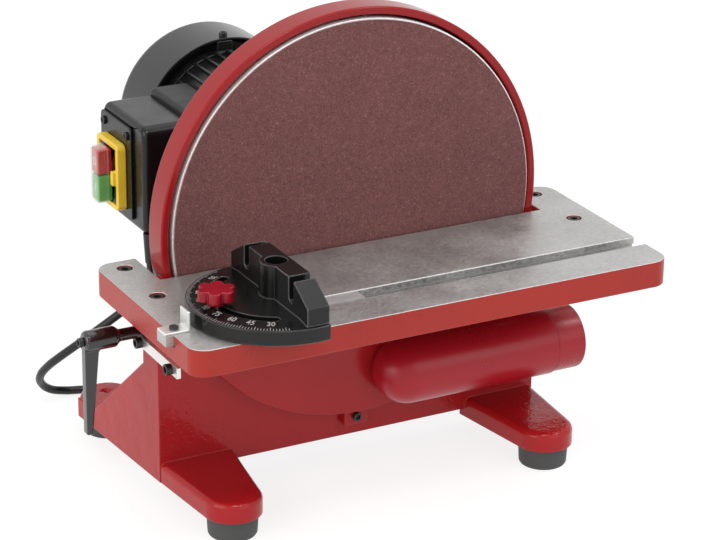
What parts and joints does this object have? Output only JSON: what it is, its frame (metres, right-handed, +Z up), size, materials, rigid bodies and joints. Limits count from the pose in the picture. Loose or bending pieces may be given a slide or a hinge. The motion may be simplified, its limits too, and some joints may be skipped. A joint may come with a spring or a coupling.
{
  "type": "benchtop disc sander",
  "caption": "Benchtop disc sander with a coaxial motor, a round disc guard, a tilting table with a mitre gauge, a front dust port and a push-button switch.",
  "frame": {"origin": "on the bench, under the middle of the machine's box (cord left out)", "axes": "+X to the operator's right along the table, +Y from the operator to the motor, +Z up"},
  "size_m": [0.454, 0.454, 0.3763],
  "materials": {
    "red_paint": "semi-gloss red paint",
    "ground_iron": "ground top, red painted edges",
    "disc_alloy": "turned",
    "abrasive": "coated abrasive cloth, maroon",
    "black_motor": "black paint",
    "steel": "turned",
    "copper": "enamelled wire",
    "dark_plastic": "fine grain",
    "capacitor_can": "drawn can",
    "yellow_plastic": "moulded",
    "red_plastic": "moulded",
    "green_plastic": "moulded",
    "black_rubber": "matt",
    "grey_rubber": "matt",
    "zinc": "bright zinc plate",
    "black_steel": "black oxide",
    "bright_screw": "zinc plate",
    "black_casting": "satin black paint",
    "plug_brass": "plated"
  },
  "bodies": {
    "frame": {"base_casting": "red_paint", "rubber_feet": "grey_rubber", "foot_screws": "bright_screw", "disc_guard": "red_paint", "guard_bolts": "black_steel", "lower_cover": "red_paint", "cover_rim": "red_paint", "dust_chute": "red_paint", "cover_screws": "black_steel", "motor_front_bell": "black_motor", "motor_body": "black_motor", "motor_rear_bell": "black_motor", "front_bearing": "steel", "rear_bearing": "steel", "stator": "steel", "windings": "copper", "fan_cover": "dark_plastic", "fan_cover_screws": "black_steel", "motor_bolts": "black_steel", "switch_saddle": "dark_plastic", "switch_box": "dark_plastic", "run_capacitor": "capacitor_can", "switch_plate": "dark_plastic", "plate_screws": "bright_screw", "switch_frame": "yellow_plastic", "switch_body": "dark_plastic", "cord_gland": "black_rubber", "power_cord": "black_rubber", "cord_coil": "black_rubber", "plug_body": "dark_plastic", "plug_pins": "plug_brass", "pivot_pins": "steel", "lock_studs": "steel"},
    "spindle": {"disc_plate": "disc_alloy", "abrasive_disc": "abrasive", "motor_shaft": "steel", "hub_set_screw": "black_steel", "rotor": "steel", "cooling_fan": "dark_plastic"},
    "tilt_table": {"table": "ground_iron", "table_screws": "black_steel", "trunnion_left": "red_paint", "trunnion_right": "red_paint", "trunnion_strips": "zinc", "strip_screws": "black_steel"},
    "left_lever": {"lock_lever_left": "black_casting", "lever_screw_left": "bright_screw"},
    "right_lever": {"lock_lever_right": "black_casting", "lever_screw_right": "bright_screw"},
    "gauge_bar": {"mitre_bar": "zinc", "mitre_pivot": "black_steel", "mitre_pointer": "zinc", "pointer_screw": "black_steel"},
    "gauge_head": {"mitre_head": "black_casting"},
    "gauge_knob": {"mitre_knob": "red_plastic", "knob_stud": "steel"},
    "stop": {"stop_button": "red_plastic"},
    "start": {"start_button": "green_plastic"}
  },
  "joints": [
    {"name": "disc_spin", "type": "hinge", "parent": "frame", "child": "spindle", "pos_m": [0, -0.067, 0.214], "axis": [0, 1, 0], "continuous": true},
    {"name": "table_tilt", "type": "hinge", "parent": "frame", "child": "tilt_table", "pos_m": [0, -0.057, 0.1785], "axis": [1, 0, 0], "range_deg": [0, 45]},
    {"name": "left_lever_turn", "type": "hinge", "parent": "frame", "child": "left_lever", "pos_m": [-0.2, -0.054, 0.1435], "axis": [1, 0, 0], "range_deg": [-25, 75]},
    {"name": "right_lever_turn", "type": "hinge", "parent": "frame", "child": "right_lever", "pos_m": [0.2, -0.054, 0.1435], "axis": [1, 0, 0], "range_deg": [-75, 25]},
    {"name": "gauge_slide", "type": "slide", "parent": "tilt_table", "child": "gauge_bar", "axis": [1, 0, 0], "range_m": [-0.04, 0.235]},
    {"name": "gauge_swivel", "type": "hinge", "parent": "gauge_bar", "child": "gauge_head", "pos_m": [-0.1146, -0.1606, 0.189], "axis": [0, 0, 1], "range_deg": [-60, 60]},
    {"name": "knob_turn", "type": "hinge", "parent": "gauge_bar", "child": "gauge_knob", "pos_m": [-0.1625, -0.1606, 0.204], "axis": [0, 0, 1], "range_deg": [-180, 180]},
    {"name": "stop_press", "type": "slide", "parent": "frame", "child": "stop", "axis": [1, 0, 0], "range_m": [0, 0.0025], "stiffness_N_per_m": 900},
    {"name": "start_press", "type": "slide", "parent": "frame", "child": "start", "axis": [1, 0, 0], "range_m": [0, 0.0025], "stiffness_N_per_m": 900}
  ]
}
